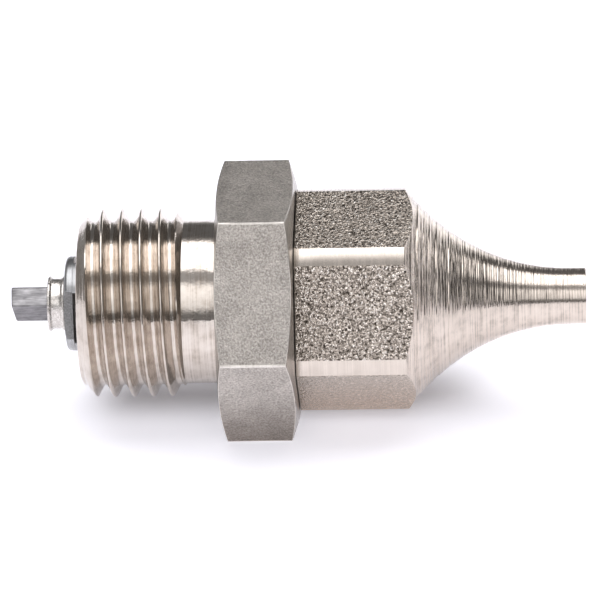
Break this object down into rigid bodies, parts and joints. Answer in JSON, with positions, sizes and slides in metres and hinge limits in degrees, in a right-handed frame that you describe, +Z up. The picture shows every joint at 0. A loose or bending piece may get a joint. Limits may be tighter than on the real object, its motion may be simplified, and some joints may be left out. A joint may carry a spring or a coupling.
{
  "type": "oil burner nozzle",
  "caption": "Oil burner nozzle: pipe-thread adapter with hexagon flange, hexagon nozzle body flaring down to a slim tip, and a spring-closed needle with a square drive end.",
  "frame": {"origin": "on the nozzle axis, in the plane of the flange's rear seat face", "axes": "+X along the nozzle axis toward the spray tip, +Z up with the part lying on one flat of its flange hexagon"},
  "size_m": [0.0401, 0.0196, 0.017],
  "materials": {
    "plated_steel": "turned and bright",
    "machined_steel": "machined",
    "dull_steel": "dull",
    "hard_steel": "ground",
    "spring_steel": "drawn wire",
    "bright_collar": "bright",
    "copper": "soft copper",
    "bronze": "turned",
    "sintered_bronze": "sintered"
  },
  "bodies": {
    "housing": {"adapter_body": "plated_steel", "nose_body": "machined_steel", "joint_washer": "copper", "guide_plug": "dull_steel", "guide_bush": "bronze", "thrust_washer": "hard_steel", "return_spring": "spring_steel", "front_guide": "bronze", "filter_snap_ring": "spring_steel", "filter_ring": "sintered_bronze", "swirl_insert": "hard_steel", "jet_tip": "hard_steel"},
    "follower": {"spring_seat": "bronze", "preload_shim": "hard_steel"},
    "needle": {"needle_stem": "dull_steel", "needle_pin": "hard_steel", "stop_collar": "bright_collar", "retaining_clip": "spring_steel"}
  },
  "joints": [
    {"name": "needle_slide", "type": "slide", "parent": "housing", "child": "follower", "axis": [-1, 0, 0], "range_m": [0, 0.0015], "stiffness_N_per_m": 1500, "springref_m": -0.002, "deforming": ["return_spring"]},
    {"name": "needle_turn", "type": "hinge", "parent": "follower", "child": "needle", "pos_m": [0, 0, 0], "axis": [1, 0, 0], "continuous": true}
  ]
}
